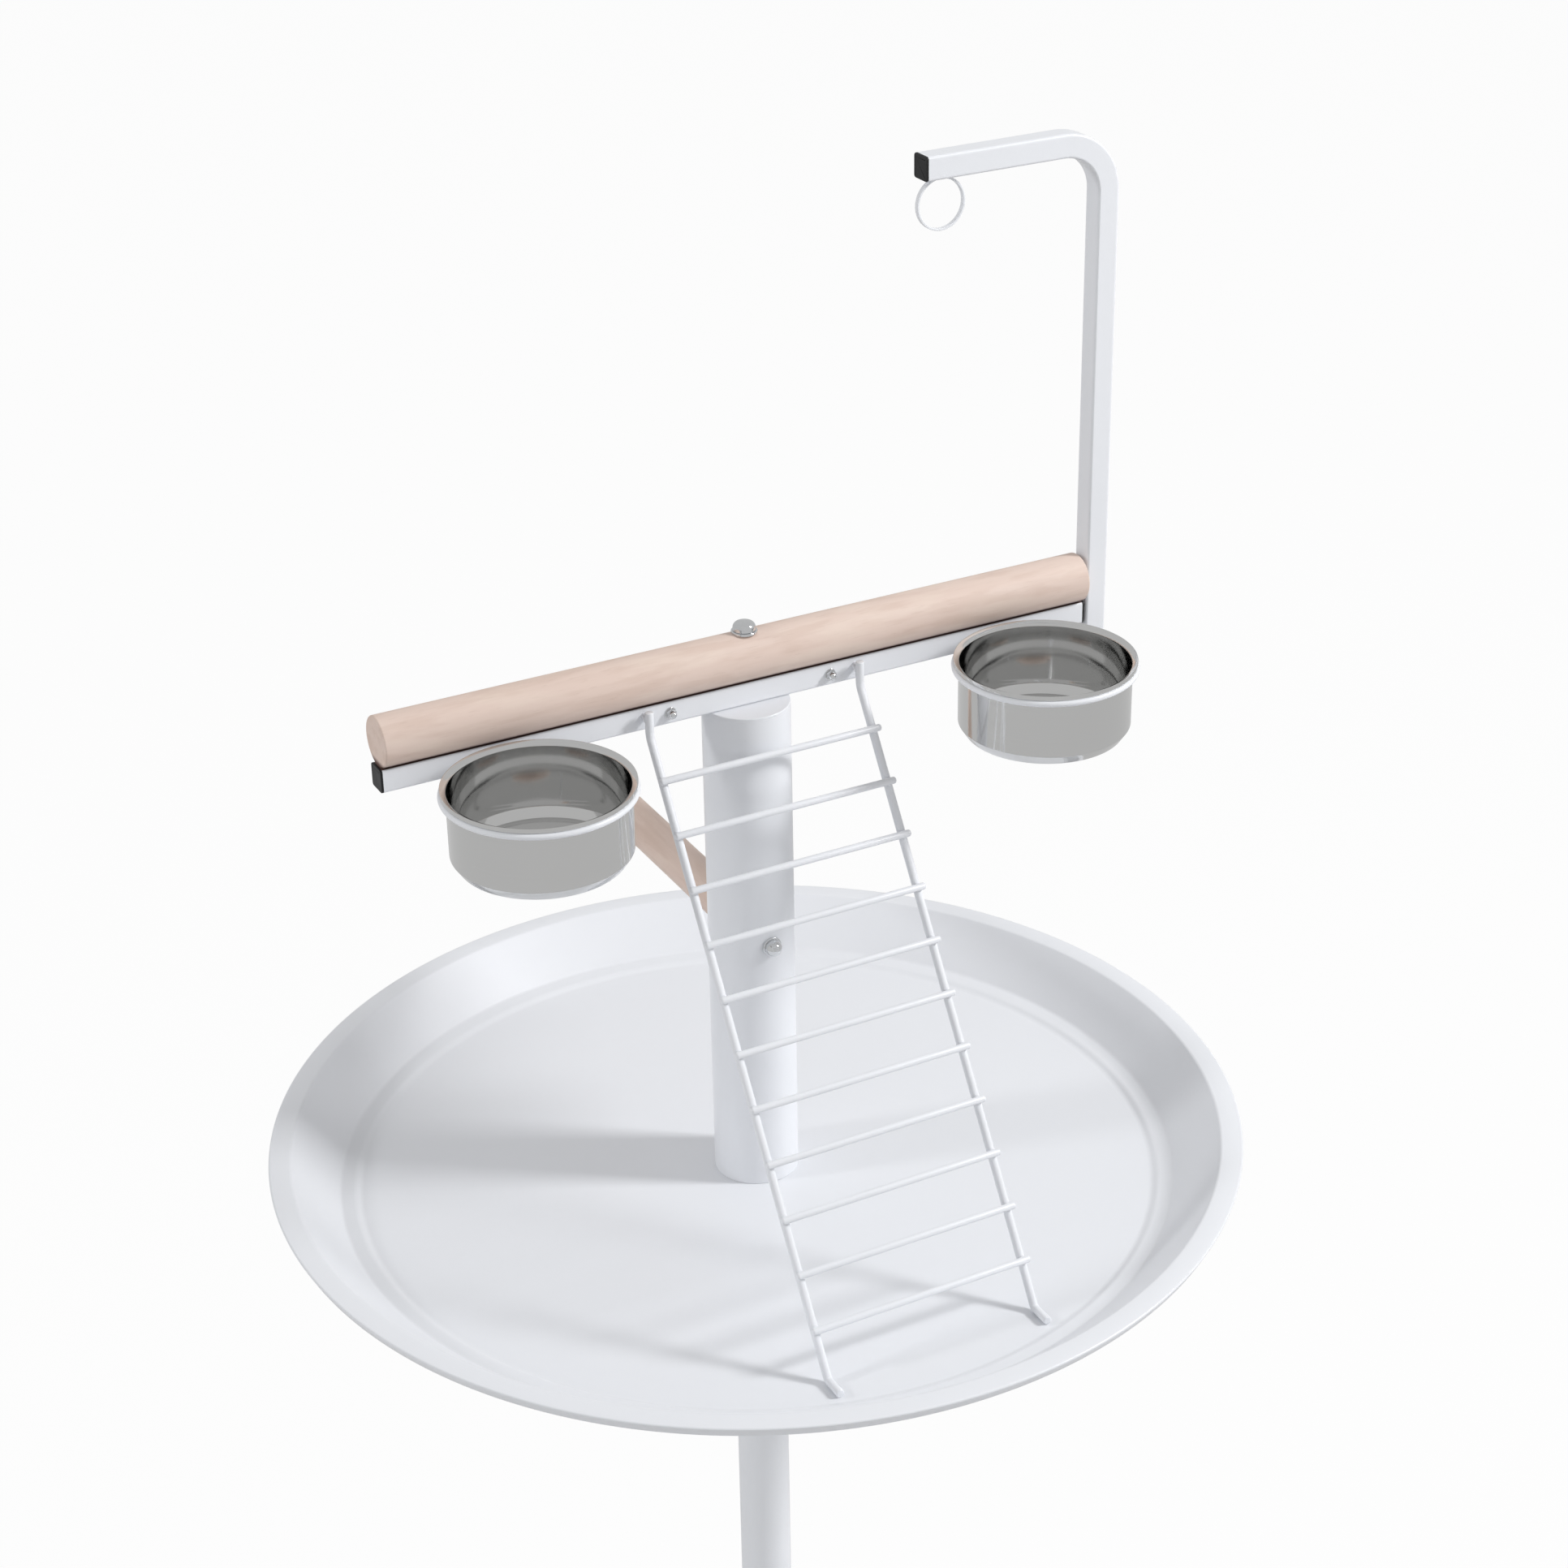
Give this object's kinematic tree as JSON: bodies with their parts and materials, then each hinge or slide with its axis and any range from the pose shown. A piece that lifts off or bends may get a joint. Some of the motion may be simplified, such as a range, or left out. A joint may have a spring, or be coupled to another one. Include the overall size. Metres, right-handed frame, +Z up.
{
  "type": "bird feeding stand",
  "caption": "Rolling bird stand: round tray on a post, with a wooden perch bar carrying steel cups, a wire ladder and a hooked arm for toys.",
  "frame": {"origin": "on the ground, on the axis of the post and tray", "axes": "+X along the perch bar towards the hooked arm, +Y to the back, away from the ladder, +Z up"},
  "size_m": [0.5999, 0.6, 1.3412],
  "materials": {
    "white_coat": "satin white powder coat",
    "perch_wood": "sanded pale beech",
    "cup_steel": "polished stainless",
    "black_plastic": "matt black",
    "bright_zinc": "bright plated",
    "insert_brass": "machined",
    "wheel_rubber": "dull grey"
  },
  "bodies": {
    "stand": {"base_socket": "white_coat", "base_plate": "white_coat", "base_screws": "bright_zinc", "base_bolt": "bright_zinc", "base_nut": "bright_zinc", "leg_1": "white_coat", "leg_2": "white_coat", "leg_3": "white_coat", "leg_4": "white_coat", "leg_caps": "black_plastic", "caster_nuts": "bright_zinc", "caster_stems": "bright_zinc", "lower_post": "white_coat", "tray_collar": "white_coat", "collar_screw": "bright_zinc", "tray": "white_coat", "upper_post": "white_coat", "post_cap": "white_coat", "post_bushes": "black_plastic", "perch_nut": "bright_zinc", "rear_perch": "perch_wood", "rear_perch_bolt": "bright_zinc", "rear_perch_washer": "bright_zinc", "rear_perch_insert": "insert_brass", "cross_bar": "white_coat", "bar_caps": "black_plastic", "saddle_bracket": "white_coat", "saddle_screws": "bright_zinc", "saddle_washers": "bright_zinc", "saddle_nuts": "bright_zinc", "main_perch": "perch_wood", "perch_bolt": "bright_zinc", "perch_washer": "bright_zinc", "cup_ring_left": "white_coat", "cup_ring_right": "white_coat", "cup_ring_washers": "bright_zinc", "cup_ring_nuts": "bright_zinc", "hook_arm": "white_coat", "arm_caps": "black_plastic", "arm_bolt": "bright_zinc", "arm_spacer": "bright_zinc", "arm_insert": "bright_zinc", "toy_ring": "white_coat"},
    "ladder": {"ladder_rails": "white_coat", "ladder_rungs": "white_coat"},
    "left_cup": {"cup_left": "cup_steel"},
    "right_cup": {"cup_right": "cup_steel"},
    "fork_1": {"caster_fork_1": "bright_zinc", "caster_axle_1": "bright_zinc"},
    "wheel_1": {"caster_wheel_1": "wheel_rubber"},
    "fork_2": {"caster_fork_2": "bright_zinc", "caster_axle_2": "bright_zinc"},
    "wheel_2": {"caster_wheel_2": "wheel_rubber"},
    "fork_3": {"caster_fork_3": "bright_zinc", "caster_axle_3": "bright_zinc"},
    "wheel_3": {"caster_wheel_3": "wheel_rubber"},
    "fork_4": {"caster_fork_4": "bright_zinc", "caster_axle_4": "bright_zinc"},
    "wheel_4": {"caster_wheel_4": "wheel_rubber"}
  },
  "joints": [
    {"name": "ladder_pull", "type": "slide", "parent": "stand", "child": "ladder", "axis": [0, -1, 0], "range_m": [0, 0.005]},
    {"name": "left_cup_lift", "type": "slide", "parent": "stand", "child": "left_cup", "axis": [0, 0, 1], "range_m": [0, 0.08]},
    {"name": "right_cup_lift", "type": "slide", "parent": "stand", "child": "right_cup", "axis": [0, 0, 1], "range_m": [0, 0.08]},
    {"name": "swivel_1", "type": "hinge", "parent": "stand", "child": "fork_1", "pos_m": [0.16829, 0.16829, 0.06], "axis": [0, 0, 1], "continuous": true},
    {"name": "wheel_spin_1", "type": "hinge", "parent": "fork_1", "child": "wheel_1", "pos_m": [0.18243, 0.18243, 0.025], "axis": [-0.7071, 0.7071, 0], "continuous": true},
    {"name": "swivel_2", "type": "hinge", "parent": "stand", "child": "fork_2", "pos_m": [-0.16829, 0.16829, 0.06], "axis": [0, 0, 1], "continuous": true},
    {"name": "wheel_spin_2", "type": "hinge", "parent": "fork_2", "child": "wheel_2", "pos_m": [-0.18243, 0.18243, 0.025], "axis": [-0.7071, -0.7071, 0], "continuous": true},
    {"name": "swivel_3", "type": "hinge", "parent": "stand", "child": "fork_3", "pos_m": [-0.16829, -0.16829, 0.06], "axis": [0, 0, 1], "continuous": true},
    {"name": "wheel_spin_3", "type": "hinge", "parent": "fork_3", "child": "wheel_3", "pos_m": [-0.18243, -0.18243, 0.025], "axis": [0.7071, -0.7071, 0], "continuous": true},
    {"name": "swivel_4", "type": "hinge", "parent": "stand", "child": "fork_4", "pos_m": [0.16829, -0.16829, 0.06], "axis": [0, 0, 1], "continuous": true},
    {"name": "wheel_spin_4", "type": "hinge", "parent": "fork_4", "child": "wheel_4", "pos_m": [0.18243, -0.18243, 0.025], "axis": [0.7071, 0.7071, 0], "continuous": true}
  ]
}
